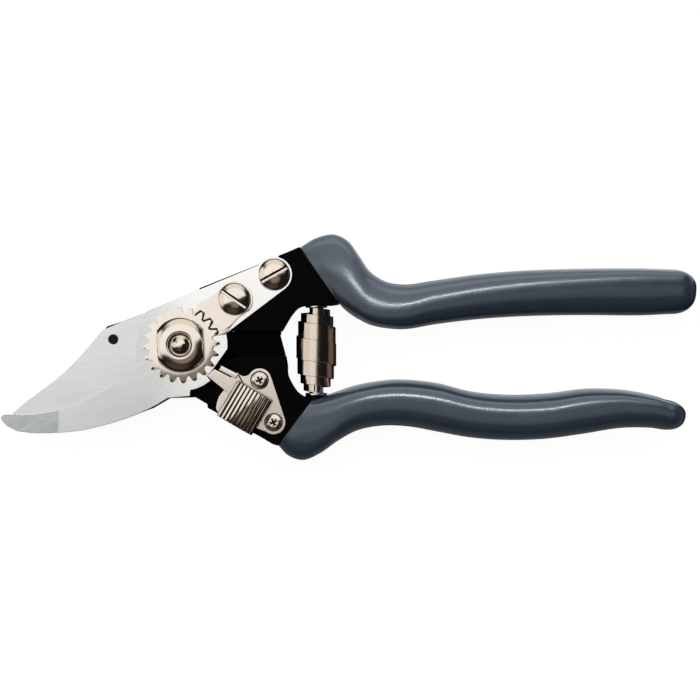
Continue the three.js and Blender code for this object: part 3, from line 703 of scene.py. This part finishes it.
# CAD nodes that keep their shape: material and width of their rounded edges
KEPT_SHAPES = {
    "upper_handle_core": (ENAMEL, 0.2),
    "lower_handle_core": (ENAMEL, 0.2),
    "toothed_segment": (NICKEL, 0.05),
    "catch_plate": (PLATE_NICKEL, 0.14),
    "catch_tongue": (SATIN_NICKEL, 0.14),
    "catch_leaf_spring": (LEAF_STEEL, 0.06),
    "catch_rivet": (NICKEL, 0.1),
    "pivot_bush": (BRONZE, 0.15),
    "upper_spring_stud": (NICKEL, 0.12),
    "lower_spring_stud": (NICKEL, 0.12),
    "blade_rivet": (BLACK_OXIDE_AND_SHADE, 0.12),
}

rubber_buffer()
# Blender fills the segment's toothed face wrongly when its triangles are joined
for node, (material, width) in KEPT_SHAPES.items():
    dress(node, material, width, joined=node != "toothed_segment")

# ------------ blades

# The line across the hook in front of which its nose is ground down, and how steeply
NOSE_LINE = (Vector((-37.4, -19.8, 0)), Vector((-36.3, -26.1, 0)))
NOSE_SLOPE = 0.075


def counter_blade():
    """The CAD blade with its nose ground down towards the tip."""
    mesh = flat_copy("counter_blade")
    shape = bmesh.new()
    shape.from_mesh(mesh)
    start, end = NOSE_LINE
    normal = (end - start).cross(Vector((0, 0, 1))).normalized()
    if normal.x > 0:
        normal.negate()
    whole = [*shape.verts, *shape.edges, *shape.faces]
    bmesh.ops.bisect_plane(shape, geom=whole, plane_co=start * MM, plane_no=normal, dist=1e-7)
    low, high = (corner[2] * MM for corner in extent("counter_blade"))
    for vertex in shape.verts:
        ahead = (vertex.co - start * MM).dot(normal)
        if ahead > 1e-6 and vertex.co.z > (low + high) / 2:
            vertex.co.z -= ahead * NOSE_SLOPE
    shape.to_mesh(mesh)
    shape.free()
    soften(piece("counter_blade", "ground", mesh, "upper_handle", COUNTER_STEEL), 0.12, 25)


# The cutting edge behind the hook, the width of its ground bevel and the thickness left at the
# edge. The bevel widens over its first steps.
CUTTING_EDGE = [(-13.5, -14.4), (-24.0, -19.6), (-36.0, -22.7), (-45.0, -22.6), (-51.5, -20.8)]
EDGE_WIDTH = 3.6
EDGE_LEFT = 0.35
EDGE_STEPS, EDGE_WIDENING = 40, 8
# How far the tool that grinds it passes the edge and the blade's back
TOOL_SPARE = 1.0


def cutting_blade():
    """The CAD blade with the bevel of its edge ground away from behind."""
    low, high = extent("cutting_blade")
    points = [np.array(point, float) for point in CUTTING_EDGE]
    steps = EDGE_STEPS
    path = [spline(points, i / steps) for i in range(steps + 1)]
    vertices = []
    for i, point in enumerate(path):
        before, after = path[max(i - 1, 0)], path[min(i + 1, steps)]
        along = (after - before) / np.linalg.norm(after - before)
        inward = np.array([along[1], -along[0]])
        if inward[1] < 0:
            inward = -inward
        share = min(1.0, i / EDGE_WIDENING)
        width = EDGE_WIDTH * share
        edge, land = point - inward * TOOL_SPARE, point + inward * width
        rise = (high[2] - low[2] - EDGE_LEFT) * (1 + TOOL_SPARE / max(width, 0.2)) * share
        vertices += [(*edge, low[2] - TOOL_SPARE), (*land, low[2] - 0.001), (*edge, low[2] + rise)]
    faces = [(0, 2, 1), (3 * steps, 3 * steps + 1, 3 * steps + 2), *bands(steps + 1, 3)]
    ground = cut(flat_copy("cutting_blade"), raw_mesh(vertices, faces))
    soften(piece("cutting_blade", "ground", ground, "lower_handle", CUTTING_STEEL), 0.10, 35)


counter_blade()
cutting_blade()

# ------------ toothed washer, nut and bolt

# Radii of the washer's teeth, bore and flat middle, and how far the tips fall. A tooth's half width
# at its root and tip is in degrees, as is the place of the first.
WASHER = {"teeth": 20, "tip": 11.5, "root": 9.6, "bore": 4.3, "phase": 3, "flat": 8.7, "fall": 0.18,
          "root_half": 6.6, "tip_half": 1.8}
# The nut's width over its flats, its radii, how far the flats are turned and its rim's height
NUT = {"flats": 13.7, "radius": 8.3, "recess": 4.0, "bore": 3.5, "turn": 2.5, "rim_lift": 0.95}
# The bolt's shank and threaded end are radii. The head's height and the shank's top are measured
# from the bolt's foot.
BOLT = {"shank": 4.0, "thread": 3.2, "head": 3.0, "shank_top": 15.5}


def toothed_washer():
    """Flat under the nut, with its teeth bent down a little towards their tips."""
    low, high = (corner[2] for corner in extent("toothed_washer"))
    samples = 24
    count = WASHER["teeth"] * samples
    pitch = 2 * math.pi / WASHER["teeth"]

    def edge(angle):
        """The washer's outer radius at an angle."""
        off = abs((angle - math.radians(WASHER["phase"]) + pitch / 2) % pitch - pitch / 2)
        share = (WASHER["root_half"] - math.degrees(off)) / (WASHER["root_half"] - WASHER["tip_half"])
        share = max(0.0, min(1.0, share))
        share = 0.75 * share + 0.25 * share * share * (3 - 2 * share)
        return WASHER["root"] + (WASHER["tip"] - WASHER["root"]) * share

    def level(radius):
        """The height of the upper face at a radius."""
        share = max(0.0, radius - WASHER["flat"]) / (WASHER["tip"] - WASHER["flat"])
        return high - WASHER["fall"] * share**1.2

    rings = []
    for i in range(count):
        angle = 2 * math.pi * i / count
        rim = edge(angle)
        shoulder = min(WASHER["root"] - 0.35, rim - 0.2)
        column = [(WASHER["bore"], low), (WASHER["bore"], high - 0.1), (WASHER["bore"] + 0.1, high)]
        column += [(WASHER["flat"] - 0.5, high), (WASHER["flat"], high - 0.01)]
        column += [(shoulder, level(shoulder)), ((shoulder + rim) / 2, level((shoulder + rim) / 2))]
        column += [(rim - 0.12, level(rim - 0.12)), (rim - 0.03, level(rim) - 0.05), (rim, level(rim) - 0.16)]
        column += [(rim, low + 0.1), (rim - 0.1, low)]
        rings.append([(r * math.cos(angle), r * math.sin(angle), z) for r, z in column])
    vertices = [point for ring in rings for point in ring]
    closed = bands(count + 1, len(rings[0]))
    mesh = points_mesh(vertices, [[corner % len(vertices) for corner in face] for face in closed])
    piece("toothed_washer", "bent", mesh, "upper_handle", NICKEL, 40)


def pivot_nut():
    """A domed nut with two flats and a turned ring round its bore."""
    low, high = extent("pivot_nut")
    radius = NUT["radius"]
    rim = low[2] + NUT["rim_lift"]
    run, rise = radius - NUT["recess"], high[2] - rim
    profile = [(NUT["bore"], low[2]), (radius - 0.2, low[2]), (radius, low[2] + 0.2)]
    for step in range(25):
        angle = math.pi / 2 * step / 24
        profile.append((NUT["recess"] + run * math.cos(angle), rim + rise * math.sin(angle)))
    top = high[2]
    profile += rounded([(NUT["recess"] - 0.05, top - 0.02), (NUT["recess"] - 0.25, top - 0.22),
                        (NUT["bore"] + 0.12, top - 0.18), (NUT["bore"], top - 0.7)], 0.1)
    shape = bmesh.new()
    shape.from_mesh(raw_mesh(*lathe(profile, 128)))
    for side in (0, 180):
        turn = math.radians(NUT["turn"] + side)
        normal = Vector((math.cos(turn), math.sin(turn), 0))
        result = bmesh.ops.bisect_plane(
            shape, geom=[*shape.verts, *shape.edges, *shape.faces],
            plane_co=normal * NUT["flats"] / 2 * MM, plane_no=normal, clear_outer=True, dist=1e-8,
        )
        edges = [item for item in result["geom_cut"] if isinstance(item, bmesh.types.BMEdge)]
        bmesh.ops.contextual_create(shape, geom=edges)
    mesh = bpy.data.meshes.new("nut")
    shape.to_mesh(mesh)
    shape.free()
    soften(piece("pivot_nut", "turned", mesh, "upper_handle", NICKEL, 40), 0.16, 38)


def pivot_bolt():
    """Its threaded end shows in the nut, chamfered round a bright flat."""
    low, high = extent("pivot_bolt")
    base, tip = low[2], high[2]
    head, stem, thread = high[0], BOLT["shank"], BOLT["thread"]
    under, stem_top = base + BOLT["head"], base + BOLT["shank_top"]
    profile = rounded([(0, base), (head - 0.6, base), (head, base + 0.6), (head, under), (stem, under)], 0.3)
    profile += [(stem, stem_top), (thread, stem_top + 0.3), (thread, tip - 1.75)]
    profile += rounded([(thread, tip - 1.6), (thread - 0.1, tip - 1.5), (1.75, tip - 0.36),
                        (0.9, tip - 0.06), (0, tip)], 0.3, 5)
    mesh = points_mesh(*lathe(profile, 96))
    piece("pivot_bolt", "turned", mesh, "upper_handle", NICKEL, 35)


toothed_washer()
pivot_nut()
pivot_bolt()

# ------------ screws

# A slotted head: its shank's radius, the dome's height and the upright rim under it
SLOTTED_SHANK = 2.3
DOME_HEIGHT, DOME_RIM = 2.5, 0.7
# A slot is a deep channel along its upper side with a shallower ledge beside it
SLOT_WIDTH, SLOT_DEPTH = 1.1, 1.0
CHANNEL_WIDTH, CHANNEL_DEPTH = 0.5, 1.4
# A countersunk head: its shank's radius and the head's height
CROSS_SHANK = 1.3
CROSS_HEAD = 1.5
# Its recess: the length and width of an arm at the top, its length at the floor, its depth and the
# degrees at which the two arms lie
ARM_LENGTH, ARM_WIDTH, ARM_FLOOR = 2.7, 0.72, 1.5
RECESS_DEPTH = 1.0
ARM_TURNS = (25, 115)


def paint_recess_shade(made, inside):
    """Paints the faces whose middle is inside a recess black, as painted shade."""
    made.data.materials.append(BLACK_OXIDE_AND_SHADE)
    for face in made.data.polygons:
        if inside(face.center):
            face.material_index = 1


def screw_places(node):
    """A screw's middle, the radius of its head, its foot and its top."""
    low, high = extent(node)
    return (low + high)[:2] / 2, (high - low)[0] / 2, low[2], high[2]


def shank(radius, foot, seat):
    """The profile of a screw's shank from its foot up to its head."""
    return [(0, foot), (radius - 0.2, foot), (radius, foot + 0.2), (radius, seat)]


def slotted_screw(node, slot_angle):
    """A domed head with a straight slot."""
    centre, radius, foot, top = screw_places(node)
    seat = top - DOME_HEIGHT
    profile = [*shank(SLOTTED_SHANK, foot, seat), (radius - 0.12, seat), (radius, seat + 0.12)]
    steps = 18
    for step in range(steps + 1):
        angle = math.pi / 2 * step / steps
        reach = radius * math.cos(angle) if step < steps else 0
        profile.append((reach, seat + DOME_RIM + (DOME_HEIGHT - DOME_RIM) * math.sin(angle)))
    head = raw_mesh(*lathe(profile, 80, centre))
    turn = math.radians(slot_angle)
    across = Vector((-math.sin(turn), math.cos(turn)))
    shift = across * (SLOT_WIDTH - CHANNEL_WIDTH) / 2
    beside = Vector(centre) + shift
    slot = block(radius * 3, SLOT_WIDTH, top - SLOT_DEPTH, top + 2, centre, slot_angle)
    channel = block(radius * 3, CHANNEL_WIDTH, top - CHANNEL_DEPTH, top + 2, beside, slot_angle)
    mesh = cut(head, raw_mesh(*slot), raw_mesh(*channel))

    def in_channel(at):
        """Whether a point lies between the channel's walls or on its floor."""
        aside = abs((at.xy / MM - Vector(centre) - shift).dot(across))
        return aside < CHANNEL_WIDTH / 2 + 0.01 and at.z / MM > top - CHANNEL_DEPTH - 0.01

    made = piece(node, "turned", mesh, "upper_handle", NICKEL, 30)
    # The channel's walls and floor are painted black: painted shade in the slot
    paint_recess_shade(made, in_channel)
    soften(made, 0.07, 32)


def cross_screw(node):
    """A countersunk head with a cross recess that narrows as it goes down."""
    centre, radius, foot, top = screw_places(node)
    seat = top - CROSS_HEAD
    profile = [*shank(CROSS_SHANK, foot, seat), (radius - 0.3, seat)]
    profile += rounded([(radius - 0.3, seat), (radius, top - 0.5), (radius - 0.1, top - 0.34),
                        (radius * 0.6, top - 0.05), (0, top)], 0.3)[1:]
    head = raw_mesh(*lathe(profile, 64, centre))
    recess = []
    for turn in ARM_TURNS:
        vertices, faces = block(ARM_LENGTH, ARM_WIDTH, top - RECESS_DEPTH, top + 1, centre, turn)
        tapered = []
        for x, y, z in vertices:
            shrink = ARM_FLOOR / ARM_LENGTH if z < top else 1.0
            tapered.append((centre[0] + (x - centre[0]) * shrink, centre[1] + (y - centre[1]) * shrink, z))
        recess.append(raw_mesh(tapered, faces))

    def in_recess(at):
        """Whether a point lies in the recess, below its upper edge."""
        aside = (at.xy / MM - Vector(centre)).length
        return aside < ARM_LENGTH / 2 - 0.03 and top - RECESS_DEPTH - 0.01 < at.z / MM < top - 0.12

    mesh = cut(head, *recess)
    made = piece(node, "turned", mesh, "lower_handle", SATIN_NICKEL, 30)
    # The recess is painted black: painted shade
    paint_recess_shade(made, in_recess)
    soften(made, 0.05, 32)


slotted_screw("segment_screw", -35)
slotted_screw("tang_screw", 29)
cross_screw("catch_screw_upper")
cross_screw("catch_screw_lower")

# ------------ thumb button

RIBS = 10
# How much lower the ends of the button lie than its middle
BUTTON_CROWN = 1.2
# Each rib from one groove to the next: share of the pitch and depth below the crown
RIB_PROFILE = [
    (0.01, 0.6), (0.15, 0.6), (0.19, 0.12), (0.29, 0.0),
    (0.71, 0.0), (0.81, 0.12), (0.85, 0.6), (0.99, 0.6),
]
# The rows across a rib from the button's side inwards: distance from the side, and drawn in by
SIDE_ROWS = [(0.0, 0.22), (0.07, 0.07), (0.22, 0.0)]


def catch_button():
    """A crowned block whose top is cut into rounded ribs across the slide."""
    low, high = extent("catch_button")
    centre = middle("catch_button")[:2]
    turn = math.radians(CATCH_ANGLE)
    reach = math.cos(turn) - math.sin(turn)
    size = (high - low)[0] / reach
    half = size / 2
    bottom, top = low[2], high[2]
    profile = [(-half + 0.15, bottom), (-half, bottom + 0.15)]
    for rib in range(RIBS):
        for share, depth in RIB_PROFILE:
            x = -half + size * (rib + share) / RIBS
            profile.append((x, top - BUTTON_CROWN * (x / half) ** 2 - depth))
    profile += [(half, bottom + 0.15), (half - 0.15, bottom)]
    rows = [(-half + off, inset) for off, inset in SIDE_ROWS]
    rows += [(half - off, inset) for off, inset in reversed(SIDE_ROWS)]
    vertices = []
    for across, inset in rows:
        for x, z in profile:
            px = x * (1 - inset / half)
            vertices.append((
                centre[0] + px * math.cos(turn) - across * math.sin(turn),
                centre[1] + px * math.sin(turn) + across * math.cos(turn),
                max(bottom, z - inset),
            ))
    count, last = len(profile), len(rows) - 1
    faces = [tuple(range(count)), tuple(reversed(range(last * count, len(vertices))))]
    faces += bands(len(rows), count)
    mesh = points_mesh(vertices, faces)
    made = piece("catch_button", "ribbed", mesh, "catch", NICKEL, 30)
    slide = Vector((math.cos(turn), math.sin(turn)))

    def in_groove(at):
        """Whether a point lies low between two ribs."""
        along = (at.xy / MM - Vector(centre)).dot(slide)
        share = (along + half) / size * RIBS % 1
        crown = top - BUTTON_CROWN * (along / half) ** 2
        return min(share, 1 - share) < 0.15 and bottom + 1 < at.z / MM < crown - 0.3

    # The grooves between the ribs are painted black: painted shade
    paint_recess_shade(made, in_groove)


catch_button()

# ------------ volute spring

# For each turn: height of the strip's middle along the axis, outer radius and strip width
SPRING_TURNS = [
    (8.9, 3.9, 4.6), (6.6, 4.9, 5.2), (3.2, 5.7, 6.6), (-1.6, 6.1, 6.6),
    (-6.2, 5.6, 6.4), (-9.4, 4.6, 5.2), (-11.8, 3.7, 4.8),
]
STRIP_THICKNESS = 0.45
# How much is taken off the strip's corners
STRIP_CORNER = 0.1
SPRING_START = 100
STEPS_PER_TURN = 60


def volute_spring():
    """One flat strip wound into a double cone, each turn lapping over the next smaller one."""
    axis = middle("volute_spring")
    keys = [np.array(turn, float) for turn in SPRING_TURNS]
    turns = len(keys) - 1
    steps = STEPS_PER_TURN * turns
    vertices = []
    for step in range(steps + 1):
        t = step / steps * turns
        along, radius, width = spline(keys, t / turns)
        angle = math.radians(SPRING_START) - 2 * math.pi * t
        inner, half, corner = radius - STRIP_THICKNESS, width / 2, STRIP_CORNER
        section = [(inner, -half + corner), (inner, half - corner)]
        section += [(inner + corner, half), (radius - corner, half)]
        section += [(radius, half - corner), (radius, -half + corner)]
        section += [(radius - corner, -half), (inner + corner, -half)]
        for r, h in section:
            vertices.append((axis[0] + r * math.cos(angle), along + h, axis[2] + r * math.sin(angle)))
    around = len(section)
    faces = [tuple(range(around)), tuple(reversed(range(around * steps, len(vertices))))]
    faces += bands(steps + 1, around)
    mesh = points_mesh(vertices, faces)
    made = piece("volute_spring", "strip", mesh, None, SPRING_NICKEL, 30)
    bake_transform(made)


volute_spring()

# ------------ floor, light, camera


def floor():
    """White paper, seen by the camera but not mirrored in the metal."""
    size = 2.5
    mesh = bpy.data.meshes.new("floor")
    mesh.from_pydata([(x * size, y * size, 0) for x, y in SQUARE], [], [(0, 1, 2, 3)])
    finish = Finish("floor_paper", Specular_IOR_Level=0.0, Roughness=0.9)
    shade = finish.noise(60, detail=2)
    finish.colour(finish.blend(shade, (0.17, 0.17, 0.17), (0.18, 0.18, 0.18)))
    finish.shader.inputs["Emission Color"].default_value = (1.0, 1.0, 1.0, 1.0)
    finish.shader.inputs["Emission Strength"].default_value = 0.95
    mesh.materials.append(finish.material)
    made = placed("floor", mesh)
    made.visible_glossy = False
    made.visible_diffuse = False


# Soft sources round the object: compass angle from +X, tilt from overhead, inner and outer
# half angle, colour
SOFT_SOURCES = [
    (177, 62, 21, 32, (0.90, 0.86, 0.80)),
    (90, 58, 24, 44, (0.84, 0.81, 0.72)),
    (-90, 12, 4, 19, (0.22, 0.185, 0.145)),
    (-105, 50, 6, 30, (0.055, 0.040, 0.028)),
    (0, 98, 10, 28, (0.16, 0.10, 0.09)),
]
# The main source is one side of a cap overhead: the side's compass angle, the cap's half angle and
# its soft edge in degrees, and where the side's own edge begins and ends
KEY = {"compass": 112, "reach": 42, "edge": 5, "from": -0.05, "to": 0.02, "colour": (1.0, 0.99, 0.97)}
# What comes from everywhere else
DIM_ROOM = (0.012, 0.011, 0.010)


def studio():
    """A soft room of warm sources, which the camera itself sees as plain white."""
    world = bpy.data.worlds.new("studio")
    SCENE.world = world
    room = NodeTree(world)
    direction = room.add("ShaderNodeTexCoord").outputs["Generated"]

    def facing(axis, low, high):
        """How far the direction leans to an axis, eased from 0 at low to 1 at high."""
        return room.spread(room.vector("DOT_PRODUCT", direction, axis), 0.0, 1.0, low, high)

    def tinted(colour, share):
        """A share of a colour."""
        scale = room.add("ShaderNodeVectorMath", operation="SCALE")
        room.feed(colour, scale.inputs[0])
        room.feed(share, scale.inputs["Scale"])
        return scale.outputs[0]

    compass = math.radians(KEY["compass"])
    side = facing((math.cos(compass), math.sin(compass), 0), KEY["from"], KEY["to"])
    outer, inner = (math.cos(math.radians(KEY["reach"] + sign * KEY["edge"])) for sign in (1, -1))
    cap = facing((0, 0, 1), outer, inner)
    total = tinted(KEY["colour"], room.maths("MULTIPLY", side, cap))
    for azimuth, tilt, inner, outer, colour in SOFT_SOURCES:
        azimuth, tilt = math.radians(azimuth), math.radians(tilt)
        axis = (math.cos(azimuth) * math.sin(tilt), math.sin(azimuth) * math.sin(tilt), math.cos(tilt))
        share = facing(axis, math.cos(math.radians(outer)), math.cos(math.radians(inner)))
        total = room.vector("MAXIMUM", total, tinted(colour, share))
    light = room.add("ShaderNodeBackground")
    room.feed(room.vector("ADD", total, DIM_ROOM), light.inputs["Color"])
    paper = room.add("ShaderNodeBackground")
    paper.inputs["Color"].default_value = (1.0, 1.0, 1.0, 1.0)
    seen = room.add("ShaderNodeMixShader")
    room.feed(room.add("ShaderNodeLightPath").outputs["Is Camera Ray"], seen.inputs[0])
    room.feed(light.outputs[0], seen.inputs[1])
    room.feed(paper.outputs[0], seen.inputs[2])
    room.feed(seen.outputs[0], room.add("ShaderNodeOutputWorld").inputs[0])


LAMP_COLOUR = (0.90, 0.98, 1.07)

# Lamps for the glossy grips, in metres: centre, size along X and across, radiance, and which of
# the grips they light. Each faces the part of the X axis beside it.
UPPER, LOWER, BOTH = (0,), (1,), (0, 1)
GRIP_LAMPS = [
    ("strip_upper", (0.085, 0.135, 0.44), (0.15, 0.030), 46, UPPER),
    ("strip_lower", (0.090, 0.135, 0.44), (0.14, 0.026), 70, LOWER),
    ("strip_end", (0.205, 0.135, 0.44), (0.09, 0.024), 10, BOTH),
    ("strip_start", (-0.06, 0.135, 0.44), (0.14, 0.024), 6, BOTH),
    ("soft_top", (0.06, 0.36, 0.38), (1.2, 0.62), 1.2, BOTH),
    ("soft_low", (0.06, -0.16, 0.45), (1.0, 0.26), 0.7, BOTH),
    ("back_wall", (0.06, 0.62, 0.10), (1.4, 0.30), 1.8, BOTH),
]
# Light thrown up by the paper beside the grips: its middle, and the rest as above
PAPER_LAMPS = [
    ("paper_above", (0.08, 0.2735), (0.6, 0.50), 1.1, UPPER),
    ("paper_below", (0.08, -0.21), (0.6, 0.36), 0.25, LOWER),
    ("paper_inner_low", (0.10, 0.0005), (0.12, 0.018), 0.25, UPPER),
    ("paper_inner_high", (0.10, -0.001), (0.12, 0.024), 1.0, LOWER),
]


def panel(name, centre, target, size, radiance, lit):
    """A rectangular lamp whose power follows from how bright its face is, for some pieces only."""
    data = bpy.data.lights.new(name, "AREA")
    data.shape = "RECTANGLE"
    data.size, data.size_y = size
    data.energy = radiance * math.pi * size[0] * size[1]
    data.color = LAMP_COLOUR
    lamp = placed(name, data)
    lamp.location = centre
    lamp.rotation_mode = "QUATERNION"
    lamp.rotation_quaternion = (Vector(target) - Vector(centre)).to_track_quat("-Z", "Y")
    lamp.visible_camera = False
    lamp.light_linking.receiver_collection = bpy.data.collections.new(name + "_lit")
    for made in lit:
        lamp.light_linking.receiver_collection.objects.link(made)


PLATES = [
    "counter_blade_ground", "cutting_blade_ground", "toothed_segment", "toothed_washer_bent",
    "catch_plate", "catch_tongue",
]
# The four panels stand this far from this point near the pivot, at this height, in metres
PANEL_TARGET = (0.02, 0.0, 0.01)
PANEL_REACH, PANEL_HEIGHT = 0.62, 0.28
PANEL_SIZE = (1.25, 0.44)
PANEL_RADIANCE = 0.5


def side_panels():
    """Soft light from all round for the flat plates, which would mirror a dark room from the side."""
    plates = [bpy.data.objects[name] for name in PLATES]
    for compass in (0, 90, 180, 270):
        turn = math.radians(compass)
        across, along = PANEL_REACH * math.cos(turn), PANEL_REACH * math.sin(turn)
        centre = (PANEL_TARGET[0] + across, along, PANEL_HEIGHT)
        panel(f"side_{compass}", centre, PANEL_TARGET, PANEL_SIZE, PANEL_RADIANCE, plates)


# The picture spans 210 mm at 14 mm above the floor
CAMERA_PLACE = (0.0505, -0.0015, 0.464)
CAMERA_LENS = 77.14


def camera():
    """Stands square over the shears."""
    data = bpy.data.cameras.new("camera")
    data.lens = CAMERA_LENS
    data.sensor_width = 36.0
    made = placed("camera", data)
    made.location = CAMERA_PLACE
    SCENE.camera = made


floor()
studio()
for name, centre, size, radiance, lit in GRIP_LAMPS:
    panel(name, centre, (centre[0], 0.0, 0.01), size, radiance, [GRIPS[i] for i in lit])
for name, flat, size, radiance, lit in PAPER_LAMPS:
    panel(name, (*flat, 0.001), (*flat, 1.0), size, radiance, [GRIPS[i] for i in lit])
side_panels()
camera()
SCENE.view_settings.view_transform = "Standard"
